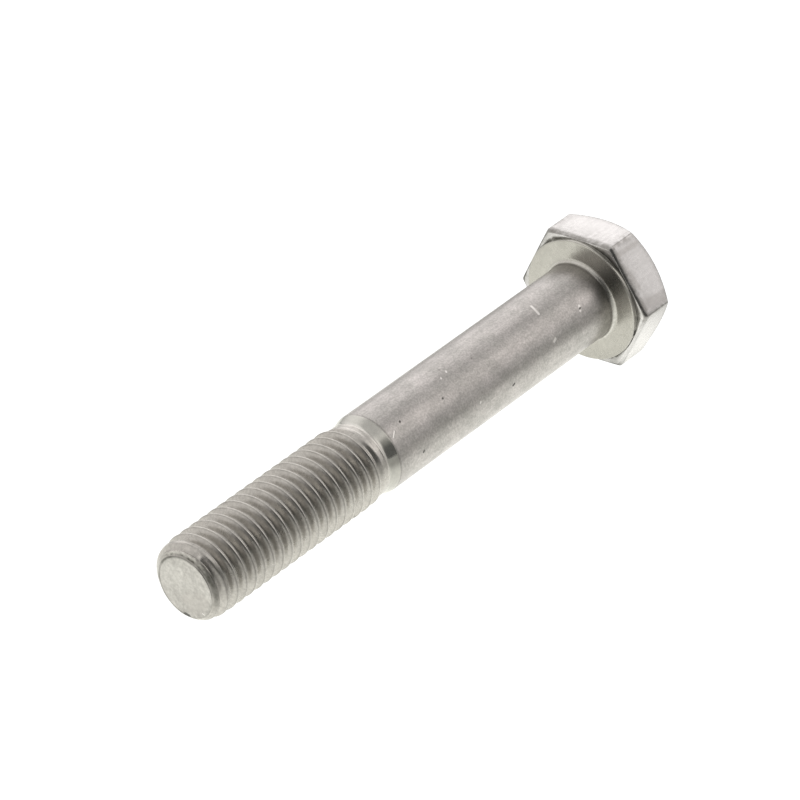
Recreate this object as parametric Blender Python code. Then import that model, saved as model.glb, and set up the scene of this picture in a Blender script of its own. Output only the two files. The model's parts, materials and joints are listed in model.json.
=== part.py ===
"""Hexagon head bolt, M10 x 70, partly threaded, one forged and rolled piece.

The bolt lies on its side.  The centre of the head's top face is the origin,
+X runs along the axis from the head to the threaded point, and one wrench
flat faces straight up (+Z).  Everything is in metres.
"""

import math

import bmesh
import bpy

MM = 0.001

# Head: a hexagon with a chamfered top and a raised washer face underneath.
ACROSS_FLATS = 16.0 * MM
HEAD_HEIGHT = 6.4 * MM
WASHER_FACE_DIAMETER = 15.5 * MM
WASHER_FACE_HEIGHT = 0.5 * MM
WASHER_EDGE_SLOPE = 0.1 * MM
TOP_FACE_DIAMETER = 14.0 * MM
TOP_CHAMFER_ANGLE = math.radians(36.0)
UNDERSIDE_EDGE_BREAK = 0.4 * MM

# Shank: a fillet under the head, a plain length, then a cone to the rolled neck.
BOLT_LENGTH = 70.0 * MM
SHANK_DIAMETER = 9.85 * MM
FILLET_RADIUS = 0.5 * MM
SHANK_TO_POINT = 30.7 * MM
NECK_CONE_LENGTH = 1.3 * MM
NECK_DIAMETER = 9.1 * MM

# Thread: right-hand metric coarse, 60 degree flanks.
PITCH = 1.5 * MM
CREST_DIAMETER = 9.85 * MM
PITCH_DIAMETER = 9.026 * MM
ROOT_DIAMETER = 8.16 * MM
FLANK_HALF_ANGLE = math.radians(30.0)
THREAD_LENGTH = 27.2 * MM
RUNOUT_LENGTH = 2.2 * MM
THREAD_START_ANGLE = math.radians(270.0)

# Point: a flat end with a steep chamfer and then a slow taper to full size.
POINT_FACE_DIAMETER = 7.6 * MM
POINT_CHAMFER_DIAMETER = 8.8 * MM
POINT_CHAMFER_LENGTH = 0.55 * MM
POINT_TAPER_LENGTH = 2.2 * MM

# Fineness of the round parts.
HEAD_SEGMENTS = 72
BODY_SEGMENTS = 36
FILLET_STEPS = 3
CUTTER_CLEARANCE = 0.08 * MM
OVERLAP = 1.0 * MM

BEARING_X = HEAD_HEIGHT
HEX_UNDERSIDE_X = HEAD_HEIGHT - WASHER_FACE_HEIGHT
POINT_X = HEAD_HEIGHT + BOLT_LENGTH
CONE_X = POINT_X - SHANK_TO_POINT


def clear_scene():
    """Remove every object, so that the model is the only thing in the file."""
    for item in list(bpy.data.objects):
        bpy.data.objects.remove(item, do_unlink=True)


def stainless_steel():
    """Satin stainless steel with a slightly warm grey."""
    material = bpy.data.materials.new("stainless_steel")
    material.use_nodes = True
    shader = material.node_tree.nodes["Principled BSDF"]
    shader.inputs["Base Color"].default_value = (0.60, 0.585, 0.565, 1.0)
    shader.inputs["Metallic"].default_value = 1.0
    shader.inputs["Roughness"].default_value = 0.32
    return material


def add_object(name, bm):
    """Turn a finished bmesh into an object, with its faces pointing out."""
    bmesh.ops.recalc_face_normals(bm, faces=bm.faces)
    mesh = bpy.data.meshes.new(name)
    bm.to_mesh(mesh)
    bm.free()
    item = bpy.data.objects.new(name, mesh)
    bpy.context.collection.objects.link(item)
    return item


def add_ring(bm, x, radius, segments, first_angle):
    """A circle of vertices around the bolt's axis at the station x."""
    ring = []
    for index in range(segments):
        angle = first_angle + 2.0 * math.pi * index / segments
        ring.append(bm.verts.new((x, radius * math.cos(angle), radius * math.sin(angle))))
    return ring


def join_rings(bm, first, second):
    """Quads between two closed rings of the same length."""
    count = len(first)
    for index in range(count):
        after = (index + 1) % count
        bm.faces.new((first[index], first[after], second[after], second[index]))


def turned_solid(name, outline, segments, first_angle=0.0):
    """Turn an outline of (x, radius) points around the axis and close both ends."""
    bm = bmesh.new()
    rings = [add_ring(bm, x, radius, segments, first_angle) for x, radius in outline]
    for first, second in zip(rings, rings[1:]):
        join_rings(bm, first, second)
    bm.faces.new(rings[0])
    bm.faces.new(rings[-1])
    return add_object(name, bm)


def hexagon_prism(name):
    """The hexagonal head blank with flats facing +Z and -Z and a broken lower edge."""
    corner_factor = 1.0 / math.cos(math.pi / 6.0)
    corner_radius = ACROSS_FLATS / 2.0 * corner_factor
    underside_radius = (ACROSS_FLATS / 2.0 - UNDERSIDE_EDGE_BREAK) * corner_factor
    outline = [
        (-OVERLAP, corner_radius),
        (HEX_UNDERSIDE_X - UNDERSIDE_EDGE_BREAK, corner_radius),
        (HEX_UNDERSIDE_X, underside_radius),
    ]
    return turned_solid(name, outline, 6)


def head_chamfer_guide():
    """A solid whose cone trims the six corners around the head's top face.

    It is turned by half a facet, so that a facet and not an edge meets each corner.
    """
    outer_radius = 0.6 * ACROSS_FLATS
    top_radius = TOP_FACE_DIAMETER / 2.0
    depth = (outer_radius - top_radius) * math.tan(TOP_CHAMFER_ANGLE)
    outline = [
        (0.0, top_radius),
        (depth, outer_radius),
        (HEAD_HEIGHT + OVERLAP, outer_radius),
    ]
    half_facet = math.pi / HEAD_SEGMENTS
    return turned_solid("head_chamfer_guide", outline, HEAD_SEGMENTS, half_facet)


def fillet_outline():
    """Points of the quarter round between the bearing face and the shank."""
    points = []
    for step in range(FILLET_STEPS + 1):
        angle = 0.5 * math.pi * step / FILLET_STEPS
        x = BEARING_X + FILLET_RADIUS * (1.0 - math.cos(angle))
        radius = SHANK_DIAMETER / 2.0 + FILLET_RADIUS * (1.0 - math.sin(angle))
        points.append((x, radius))
    return points


def body_guide():
    """Washer face, fillet, shank, cone, neck, thread blank and point in one turned outline."""
    crest_radius = CREST_DIAMETER / 2.0
    outline = [
        (HEX_UNDERSIDE_X - OVERLAP, WASHER_FACE_DIAMETER / 2.0 + WASHER_EDGE_SLOPE),
        (BEARING_X, WASHER_FACE_DIAMETER / 2.0),
    ]
    outline += fillet_outline()
    outline += [
        (CONE_X, SHANK_DIAMETER / 2.0),
        (CONE_X + NECK_CONE_LENGTH, NECK_DIAMETER / 2.0),
        (POINT_X - THREAD_LENGTH, crest_radius),
        (POINT_X - POINT_TAPER_LENGTH, crest_radius),
        (POINT_X - POINT_CHAMFER_LENGTH, POINT_CHAMFER_DIAMETER / 2.0),
        (POINT_X, POINT_FACE_DIAMETER / 2.0),
    ]
    return turned_solid("body_guide", outline, BODY_SEGMENTS)


def groove_half_width(radius):
    """Half the width of the thread groove at the given radius."""
    return PITCH / 4.0 + (radius - PITCH_DIAMETER / 2.0) * math.tan(FLANK_HALF_ANGLE)


def groove_section(bm, x, angle, lift):
    """Four vertices of the groove's cross-section, moved outwards by lift."""
    root_radius = ROOT_DIAMETER / 2.0
    top_radius = CREST_DIAMETER / 2.0 + CUTTER_CLEARANCE
    root_half = groove_half_width(root_radius)
    top_half = groove_half_width(top_radius)
    corners = [
        (x - top_half, top_radius + lift),
        (x - root_half, root_radius + lift),
        (x + root_half, root_radius + lift),
        (x + top_half, top_radius + lift),
    ]
    return [bm.verts.new((cx, r * math.cos(angle), r * math.sin(angle))) for cx, r in corners]


def thread_cutter():
    """The right-hand helical groove, rising out of the steel at the run-out."""
    runout_x = POINT_X - THREAD_LENGTH - RUNOUT_LENGTH / 2.0
    full_depth_x = runout_x + RUNOUT_LENGTH
    full_lift = (CREST_DIAMETER - ROOT_DIAMETER) / 2.0 + CUTTER_CLEARANCE
    step_angle = 2.0 * math.pi / BODY_SEGMENTS
    steps = math.ceil((POINT_X + 1.5 * PITCH - runout_x) / PITCH * BODY_SEGMENTS)
    start_step = round(THREAD_START_ANGLE / step_angle)
    bm = bmesh.new()
    sections = []
    for step in range(steps + 1):
        x = runout_x + PITCH * step / BODY_SEGMENTS
        fade = min(1.0, max(0.0, (full_depth_x - x) / RUNOUT_LENGTH))
        sections.append(groove_section(bm, x, (step + start_step) * step_angle, full_lift * fade))
    for first, second in zip(sections, sections[1:]):
        join_rings(bm, first, second)
    bm.faces.new(sections[0])
    bm.faces.new(sections[-1])
    return add_object("thread_cutter", bm)


def combine(item, guide, operation):
    """Add a Boolean with the guide, which itself stays out of the model."""
    modifier = item.modifiers.new(guide.name, "BOOLEAN")
    modifier.operation = operation
    modifier.solver = "EXACT"
    modifier.object = guide
    guide.hide_render = True
    guide.display_type = "WIRE"


def build_hex_bolt():
    """The whole bolt: trimmed head, washer face, shank and cut thread."""
    bolt = hexagon_prism("hex_bolt")
    combine(bolt, head_chamfer_guide(), "INTERSECT")
    combine(bolt, body_guide(), "UNION")
    combine(bolt, thread_cutter(), "DIFFERENCE")
    bolt.data.materials.append(stainless_steel())
    bolt.data.shade_smooth()
    bolt.data.set_sharp_from_angle(angle=math.radians(25.0))
    return bolt


def main():
    """Clear the file and build the bolt."""
    clear_scene()
    build_hex_bolt()


main()
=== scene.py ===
"""Looks of a hexagon head bolt in satin stainless steel, lying on a pale floor.

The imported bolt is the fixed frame: the centre of the head's top face is the origin and +X runs
along the axis to the threaded point.  Lengths are in metres where nothing else is said.  An angle
around the axis is counted from +Y towards +Z, so the upper wrench flat stands at 90 degrees.
"""

import json
import logging
import math
from dataclasses import dataclass
from enum import Enum

import bpy
import numpy as np
from mathutils import Matrix, Vector


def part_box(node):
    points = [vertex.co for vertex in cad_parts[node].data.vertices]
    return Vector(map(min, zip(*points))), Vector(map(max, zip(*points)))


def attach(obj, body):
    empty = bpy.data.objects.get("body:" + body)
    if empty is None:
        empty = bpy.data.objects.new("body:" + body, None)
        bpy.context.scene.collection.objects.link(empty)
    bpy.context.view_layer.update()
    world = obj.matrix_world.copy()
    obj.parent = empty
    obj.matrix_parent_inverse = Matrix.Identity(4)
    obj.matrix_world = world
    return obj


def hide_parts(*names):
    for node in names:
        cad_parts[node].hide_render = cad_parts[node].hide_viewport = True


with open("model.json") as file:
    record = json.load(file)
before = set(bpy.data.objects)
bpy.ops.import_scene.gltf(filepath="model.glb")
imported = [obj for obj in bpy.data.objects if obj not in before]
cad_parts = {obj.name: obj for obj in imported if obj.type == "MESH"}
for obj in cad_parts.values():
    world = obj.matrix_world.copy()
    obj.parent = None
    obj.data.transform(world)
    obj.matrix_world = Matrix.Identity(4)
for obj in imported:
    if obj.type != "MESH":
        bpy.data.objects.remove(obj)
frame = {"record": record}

MM = 0.001
BODY = "root"
CAD_NODE = "hex_bolt"
# Per-point mask for each finish's wear colour: real wear from handling, and also painted highlights
# on the fillet and the thread's crests and painted shade along the hexagon's edges.
WEAR_AND_LIGHT_ATTRIBUTE = "wear"
# Per-point mask for the dark grime colour: dirt in hollows, and also painted shade in the washer's
# step, under the fillet and beside the thread's crests.
HOLLOW_ATTRIBUTE = "hollow"
HEAD_SIDES = 6
HALF_SIDE = math.pi / HEAD_SIDES

Colour = tuple[float, float, float]
Socket = bpy.types.NodeSocket
Value = float | Socket
Numbers = float | np.ndarray
Faces = list[tuple[tuple[int, ...], "Zone"]]

log = logging.getLogger("hex_bolt")


class Zone(Enum):
    """The parts of the bolt's skin, each with a finish of its own."""

    POINT = "cut_point"
    THREAD = "rolled_thread"
    NECK = "drawn_neck"
    SHANK = "drawn_shank"
    BEARING = "pressed_bearing_face"
    FLATS = "trimmed_flats"
    TOP = "forged_top"


# Small formulas


def smooth_step(values: Numbers, low: float, high: float) -> Numbers:
    """Ease from 0 at and below low to 1 at and above high."""
    share = np.clip((values - low) / (high - low), 0.0, 1.0)
    return share * share * (3.0 - 2.0 * share)


def soft_min(first: Numbers, second: Numbers, width: float) -> Numbers:
    """The smaller of two profiles, rounded where their difference is less than the width."""
    share = np.clip(0.5 + 0.5 * (second - first) / width, 0.0, 1.0)
    return second + (first - second) * share - width * share * (1.0 - share)


def soft_max(first: Numbers, second: Numbers, width: float) -> Numbers:
    """The larger of two profiles, rounded where their difference is less than the width."""
    return -soft_min(-first, -second, width)


def bell(gaps: Numbers, width: float) -> Numbers:
    """A smooth bump of height 1, which has fallen to about a third at a gap of its width."""
    return np.exp(-((gaps / width) ** 2))


def angle_gap(angles: Numbers, centre: float) -> np.ndarray:
    """The shortest way around the axis from a centre angle, from -180 to 180 degrees."""
    return (np.asarray(angles) - centre + 180.0) % 360.0 - 180.0


def quarter_turn(step: int, steps: int) -> float:
    """How far one of some equal steps has come around a quarter turn, in radians."""
    return 0.5 * math.pi * step / steps


def around_axis(x: float, radius: float, angle: float) -> Vector:
    """A point at the given place along the axis, radius and angle in degrees."""
    turn = math.radians(angle)
    return Vector((x, radius * math.cos(turn), radius * math.sin(turn)))


# The frame and the skin


@dataclass(frozen=True)
class BoltFrame:
    """The driving sizes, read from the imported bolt."""

    bearing_x: float
    point_x: float
    across_flats: float

    @classmethod
    def from_record(cls, record: dict) -> "BoltFrame":
        """Read the bearing face, the point and the flats from the frame.

        Args:
            record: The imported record, whose mounts lie on the bolt's faces.

        Returns:
            The bolt's driving sizes.
        """
        places = {mount["name"]: mount["pos_m"] for mount in record["mounts"]}
        lowest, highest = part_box(CAD_NODE)
        return cls(
            bearing_x=places["bearing_face"][0],
            point_x=places["point_face"][0],
            across_flats=highest.z - lowest.z,
        )


@dataclass(frozen=True)
class Columns:
    """The columns of points that run the whole length of the skin, all the way around."""

    count: int = 144
    seam: float = 222.5
    crowding: float = 0.86

    @property
    def even(self) -> np.ndarray:
        """Evenly spaced angles from the seam, for the round parts."""
        return self.seam + np.arange(self.count) * 360.0 / self.count

    @property
    def crowded(self) -> np.ndarray:
        """The same columns drawn towards the six corners, for the hexagon.

        Returns:
            One angle for each column.
        """
        half_side = 180.0 / HEAD_SIDES
        gap = angle_gap(self.even * HEAD_SIDES, 0.0) / HEAD_SIDES
        share = gap / half_side
        eased = (1.0 - self.crowding) * share + self.crowding * share**3
        return self.even - gap + half_side * eased

    @property
    def turn(self) -> np.ndarray:
        """How far around from the seam each column stands, from 0 to just under 1."""
        return np.arange(self.count) / self.count


@dataclass(frozen=True)
class Station:
    """One closed ring of the skin, with a point on every column."""

    x: np.ndarray
    radius: np.ndarray
    angles: np.ndarray
    zone: Zone
    wear: np.ndarray
    hollow: np.ndarray
    sheared: bool


class Skin:
    """A closed mesh that grows station by station from the point to the head."""

    def __init__(self, columns: Columns) -> None:
        """Start an empty skin on the given columns."""
        self.columns = columns
        self.stations: list[Station] = []

    def ring(
        self,
        x: Numbers,
        radius: Numbers,
        zone: Zone,
        angles: np.ndarray | None = None,
        wear: Numbers = 0.0,
        hollow: Numbers = 0.0,
        sheared: bool = False,
    ) -> None:
        """Add one station.

        Args:
            x: The place along the axis, one number or one for each column.
            radius: The radius, one number or one for each column.
            zone: The finish of the band that leads to this station.
            angles: The columns' angles, if they aren't evenly spaced.
            wear: How much the station is polished by handling, from 0 to 1; the same value also lays
                painted highlights on the fillet and the thread's crests and painted shade along the
                hexagon's edges.
            hollow: How deep the station lies in a hollow, from 0 to 1; it darkens the station as
                dirt, and also lays painted shade in the washer's step, under the fillet and beside
                the thread's crests.
            sheared: Whether the station climbs like the thread, so that its ends don't meet.
        """
        blank = np.zeros(self.columns.count)
        station = Station(
            x=blank + x,
            radius=blank + radius,
            angles=self.columns.even if angles is None else angles,
            zone=zone,
            wear=blank + wear,
            hollow=blank + hollow,
            sheared=sheared,
        )
        self.stations.append(station)

    def _points(self) -> np.ndarray:
        """Every station's points, in order, and the centres of the two end faces.

        Returns:
            An array of points, three numbers each.
        """
        rings = []
        for station in self.stations:
            turn = np.radians(station.angles)
            across = [station.radius * np.cos(turn), station.radius * np.sin(turn)]
            rings.append(np.stack([station.x, *across], axis=1))
        centres = [[self.stations[end].x.mean(), 0.0, 0.0] for end in (0, -1)]
        return np.concatenate(rings + [np.array(centres)])

    def _zip_seam(self, first: int, last: int) -> Faces:
        """Join the last column to the first one along a run of sheared stations.

        Args:
            first: The station before the run, whose ends meet.
            last: The station after the run, whose ends meet.

        Returns:
            Triangles that close the seam, each with its zone.
        """
        count = self.columns.count
        faces = []
        left, right = first, first
        while left < last or right < last:
            next_left = self.stations[min(left + 1, last)].x[-1]
            next_right = self.stations[min(right + 1, last)].x[0]
            left_corner = left * count + count - 1
            right_corner = right * count
            if right == last or (left < last and next_left >= next_right):
                left += 1
                face = (left_corner, left * count + count - 1, right_corner)
                zone = self.stations[left].zone
            else:
                right += 1
                face = (left_corner, right * count, right_corner)
                zone = self.stations[right].zone
            faces.append((face, zone))
        return faces

    def _faces(self) -> Faces:
        """Join all stations and close both ends.

        Returns:
            The faces, each with its zone, pointing out.
        """
        count = self.columns.count
        last_ring = (len(self.stations) - 1) * count
        near_centre = len(self.stations) * count
        faces = []
        for column in range(count):
            after = (column + 1) % count
            faces.append(((near_centre, column, after), self.stations[0].zone))
            far_face = (near_centre + 1, last_ring + after, last_ring + column)
            faces.append((far_face, self.stations[-1].zone))
        run_start = None
        for index, station in enumerate(self.stations[1:]):
            low, high = index * count, (index + 1) * count
            for column in range(count - 1):
                face = (low + column, high + column, high + column + 1, low + column + 1)
                faces.append((face, station.zone))
            open_band = station.sheared or self.stations[index].sheared
            if not open_band:
                seam = (low + count - 1, high + count - 1, high, low)
                faces.append((seam, station.zone))
            elif run_start is None:
                run_start = index
            if run_start is not None and not station.sheared:
                faces += self._zip_seam(run_start, index + 1)
                run_start = None
        return faces

    def build(self, name: str) -> bpy.types.Object:
        """Make the closed mesh, with each face's material index set by its zone.

        Args:
            name: The piece's name.

        Returns:
            The finished object, smooth shaded, with its attribute of wear and painted light and its
            hollow attribute.
        """
        faces = self._faces()
        mesh = bpy.data.meshes.new(name)
        mesh.from_pydata(self._points().tolist(), [], [corners for corners, _ in faces])
        slots = {zone: index for index, zone in enumerate(Zone)}
        mesh.polygons.foreach_set("material_index", [slots[zone] for _, zone in faces])
        for title in (WEAR_AND_LIGHT_ATTRIBUTE, HOLLOW_ATTRIBUTE):
            values = [getattr(station, title) for station in self.stations]
            ends = np.array([values[0].mean(), values[-1].mean()])
            attribute = mesh.attributes.new(title, "FLOAT", "POINT")
            attribute.data.foreach_set("value", np.concatenate(values + [ends]))
        mesh.shade_smooth()
        mesh.validate()
        piece = bpy.data.objects.new(name, mesh)
        bpy.context.scene.collection.objects.link(piece)
        return piece


# The bolt's shapes


@dataclass(frozen=True)
class Stretch:
    """A stretch around the axis that fades softly to both sides."""

    angle: float
    spread: float
    share: float = 1.0

    def at(self, angles: np.ndarray) -> np.ndarray:
        """How strongly the stretch shows at each angle."""
        return self.share * bell(angle_gap(angles, self.angle), self.spread)


@dataclass(frozen=True)
class Sector:
    """A sector around the axis: 1 up to one gap from its middle, and 0 from another gap on."""

    angle: float
    full_gap: float
    end_gap: float

    def at(self, angles: np.ndarray) -> np.ndarray:
        """How far each angle is inside the sector, from 0 to 1."""
        return 1.0 - smooth_step(np.abs(angle_gap(angles, self.angle)), self.full_gap, self.end_gap)


@dataclass(frozen=True)
class Bead:
    """A small lump or dent in the threaded end, or a faint ridge around its neck."""

    from_end: float
    angle: float
    height: float
    length: float
    spread: float

    def lift(self, from_end: np.ndarray, angles: np.ndarray) -> np.ndarray:
        """How far the bead raises the surface at each place, in metres."""
        along = bell(from_end - self.from_end, self.length)
        return self.height * along * bell(angle_gap(angles, self.angle), self.spread)


@dataclass(frozen=True)
class ThreadedEnd:
    """The point, the rolled thread and the neck behind it; places count from the end face."""

    point_x: float

    pitch: float = 1.5 * MM
    crest_radius: float = 4.925 * MM
    pitch_radius: float = 4.513 * MM
    root_radius: float = 4.08 * MM
    half_angle: float = 30.0
    crest_round: float = 0.25
    root_round: float = 0.25
    crest_start: float = 0.16 * MM
    fade_start: float = 26.8 * MM
    fade_end: float = 28.5 * MM
    neck_radius: float = 4.575 * MM

    planar_start: float = 1.0 * MM
    planar_end: float = 3.0 * MM
    shear_full: float = 27.8 * MM
    shear_end: float = 29.3 * MM
    half_pitch_steps: tuple[float, ...] = (0.05, 0.1, 0.15, 0.2, 0.3, 0.42, 0.52, 0.6, 0.67, 0.75)

    face_radius: float = 3.82 * MM
    face_offset: float = 0.28 * MM
    face_offset_angle: float = -80.0
    face_rings: tuple[float, ...] = (0.12, 0.35, 0.6, 0.8, 0.92)
    rim_round: float = 0.1 * MM
    rim_steps: int = 4
    chamfer_radius: float = 4.575 * MM
    chamfer_length: float = 0.55 * MM
    taper_length: float = 1.6 * MM
    taper_round: float = 0.08 * MM
    thread_start_round: float = 0.06 * MM
    tip_step: float = 0.05 * MM

    # Painted highlight, partly real wear: the crests' tops take the thread's light wear colour.
    crest_wear_and_highlight: float = 0.15
    crest_wear_and_highlight_heights: tuple[float, float] = (0.88, 1.0)
    # Painted shadow: a thin dark line on each flank just below the crest.
    crest_lip_painted_shade: float = 0.45
    crest_lip_heights: tuple[float, float] = (0.6, 0.8)
    crest_lip_place: float = 0.13 * MM
    crest_lip_width: float = 0.04 * MM
    rim_dirt: float = 0.9
    clean_rim: Sector = Sector(0.0, 55.0, 95.0)
    clean_rim_share: float = 0.8
    chamfer_dirt: tuple[Stretch, ...] = (Stretch(24.0, 46.0), Stretch(200.0, 60.0, 0.8))

    torn_rim: Stretch = Stretch(85.0, 45.0)
    ragged_waves: tuple[tuple[float, float], ...] = ((17.0, 0.0), (29.0, 40.0))
    ragged_share: float = 0.2
    ragged_shift: float = 0.02 * MM
    groove_place: float = 0.16 * MM
    groove_width: float = 0.08 * MM
    groove_depth: float = 0.12 * MM
    ledge_place: float = 0.32 * MM
    shiny_lift: float = 0.06 * MM
    beads: tuple[Bead, ...] = (
        Bead(0.85 * MM, 60.0, 0.12 * MM, 0.13 * MM, 4.0),
        Bead(0.30 * MM, 74.0, 0.10 * MM, 0.09 * MM, 3.0),
        Bead(0.34 * MM, 64.0, 0.08 * MM, 0.08 * MM, 2.5),
        Bead(0.32 * MM, 53.0, 0.11 * MM, 0.10 * MM, 3.5),
        Bead(0.45 * MM, 47.0, 0.08 * MM, 0.08 * MM, 2.5),
        Bead(0.10 * MM, 118.0, -0.16 * MM, 0.14 * MM, 6.0),
        Bead(0.06 * MM, 268.0, -0.20 * MM, 0.10 * MM, 3.0),
        Bead(28.38 * MM, 85.0, 0.05 * MM, 0.12 * MM, 40.0),
        Bead(29.02 * MM, 65.0, 0.06 * MM, 0.13 * MM, 60.0),
    )

    def _thread_shape(self, gap: np.ndarray) -> np.ndarray:
        """The thread's rounded profile.

        Args:
            gap: The distance from the crest's middle along the axis.

        Returns:
            The profile's height, from 0 in the root to 1 on the crest.
        """
        slope = 1.0 / math.tan(math.radians(self.half_angle))
        depth = self.crest_radius - self.root_radius
        rise = self.pitch_radius - self.root_radius + (self.pitch / 4.0 - gap) * slope
        topped = soft_min(rise / depth, 1.0, self.crest_round)
        return soft_max(topped, 0.0, self.root_round)

    def _face_rim(self, angles: np.ndarray) -> np.ndarray:
        """The radius of the end face's rim, which stands a little off centre."""
        gap = np.radians(angle_gap(angles, self.face_offset_angle))
        return self.face_radius + self.face_offset * np.cos(gap)

    def _point_limit(self, from_end: np.ndarray, angles: np.ndarray) -> np.ndarray:
        """The outline of the point, which trims the thread.

        Args:
            from_end: The distance from the end face, for each column.
            angles: The columns' angles.

        Returns:
            The largest radius at each column.
        """
        rim = self._face_rim(angles)
        chamfer = rim + (self.chamfer_radius - rim) / self.chamfer_length * from_end
        taper_rise = (self.crest_radius - self.chamfer_radius) / self.taper_length
        taper = self.chamfer_radius + taper_rise * (from_end - self.chamfer_length)
        return soft_min(chamfer, taper, self.taper_round)

    def _torn(self, from_end: np.ndarray, angles: np.ndarray) -> tuple[np.ndarray, np.ndarray]:
        """The torn stretch of the point's rim and the ragged groove that runs along it.

        Args:
            from_end: The distance from the end face, for each column.
            angles: The columns' angles.

        Returns:
            How torn each column is, and how deep it lies in the groove.
        """
        ragged = sum(np.sin(np.radians(waves * angles + start)) for waves, start in self.ragged_waves)
        torn = self.torn_rim.at(angles) * (1.0 + self.ragged_share * ragged)
        place = self.groove_place + self.ragged_shift * ragged
        return torn, torn * bell(from_end - place, self.groove_width)

    def _surface(
        self, from_end: np.ndarray, angles: np.ndarray
    ) -> tuple[np.ndarray, np.ndarray, np.ndarray]:
        """The surface of the point and the thread.

        Args:
            from_end: The distance from the end face, for each column.
            angles: The columns' angles.

        Returns:
            The radius, the wear with the crests' painted highlight, and the hollow with the painted
            shade beside the crests, at each column.
        """
        phase = (from_end - self.crest_start) / self.pitch + angles / 360.0
        gap = np.abs(phase - np.round(phase)) * self.pitch
        shape = self._thread_shape(gap)
        fade = smooth_step(from_end, self.fade_start, self.fade_end)
        crest = self.crest_radius + (self.neck_radius - self.crest_radius) * fade
        root = self.root_radius + (self.neck_radius - self.root_radius) * fade
        thread = root + (crest - root) * shape
        radius = soft_min(thread, self._point_limit(from_end, angles), self.thread_start_round)
        lift = sum(bead.lift(from_end, angles) for bead in self.beads)
        torn, groove = self._torn(from_end, angles)

        # Painted highlight, partly real wear, along the crests' tops.
        on_crest = self.crest_wear_and_highlight * smooth_step(shape, *self.crest_wear_and_highlight_heights) * (1.0 - fade)
        on_beads = np.clip(lift / self.shiny_lift, 0.0, 1.0)
        on_ledge = torn * bell(from_end - self.ledge_place, self.groove_width)
        wear = np.maximum.reduce([on_crest, on_beads, on_ledge])

        half_chamfer = 0.5 * self.chamfer_length
        around = sum(stretch.at(angles) for stretch in self.chamfer_dirt)
        on_chamfer = around * bell(from_end - half_chamfer, half_chamfer)
        # Painted shadow: thin dark lines on both flanks just below each crest, fading out towards the
        # neck.
        lips = self.crest_lip_painted_shade * bell(gap - self.crest_lip_place, self.crest_lip_width)
        lips = lips * smooth_step(shape, *self.crest_lip_heights) * (1.0 - fade)
        hollow = np.maximum.reduce([on_chamfer, groove, lips])
        return radius + lift - self.groove_depth * groove, wear, hollow

    def _climbing_places(self, seam: float) -> list[float]:
        """Where the stations of the thread stand at the middle of their climb.

        Args:
            seam: The angle at which the columns start.

        Returns:
            Distances from the end face, growing, with more of them on crests and in roots.
        """
        first_crest = self.crest_start - self.pitch * (0.5 + seam / 360.0)
        rising = [step * MM for step in self.half_pitch_steps]
        steps = [0.0, *rising, *(self.pitch - step for step in rising[:-1])]
        turns = math.ceil(self.shear_end / self.pitch) + 2
        places = [first_crest + turn * self.pitch + step for turn in range(turns) for step in steps]
        return sorted(place for place in places if self.planar_start < place < self.shear_end)

    def _add_station(self, skin: Skin, from_end: np.ndarray, sheared: bool) -> None:
        """Add one station of the point or the thread.

        Args:
            skin: The skin to add to.
            from_end: The distance from the end face, for each column.
            sheared: Whether the station climbs with the thread.
        """
        radius, wear, hollow = self._surface(from_end, skin.columns.even)
        x = self.point_x - from_end
        skin.ring(x, radius, Zone.THREAD, wear=wear, hollow=hollow, sheared=sheared)

    def _add_face(self, skin: Skin) -> None:
        """Add the end face and its rounded rim.

        Args:
            skin: The skin to add to.
        """
        angles = skin.columns.even
        rim = self._face_rim(angles)
        for share in self.face_rings:
            skin.ring(self.point_x, rim * share, Zone.POINT)
        darkening = self.rim_dirt * (1.0 - self.clean_rim_share * self.clean_rim.at(angles))
        for step in range(self.rim_steps):
            turn = quarter_turn(step, self.rim_steps)
            x = self.point_x - self.rim_round * (1.0 - math.cos(turn))
            inset = self.rim_round * (1.0 - math.sin(turn))
            skin.ring(x, rim - inset, Zone.POINT, hollow=darkening)

    def add_to(self, skin: Skin) -> None:
        """Add the end face, the point, the thread and the start of the neck.

        Args:
            skin: The skin to add to, still empty.
        """
        self._add_face(skin)
        place = self.rim_round
        while place < self.planar_start:
            self._add_station(skin, np.full(skin.columns.count, place), sheared=False)
            place += self.tip_step
        for place in self._climbing_places(skin.columns.seam):
            near = np.clip((place - self.planar_start) / (self.planar_end - self.planar_start), 0, 1)
            far = np.clip((self.shear_end - place) / (self.shear_end - self.shear_full), 0, 1)
            climb = self.pitch * (skin.columns.turn - 0.5) * near * far
            self._add_station(skin, place - climb, sheared=True)
        skin.ring(self.point_x - self.shear_end, self.neck_radius, Zone.NECK)


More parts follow.
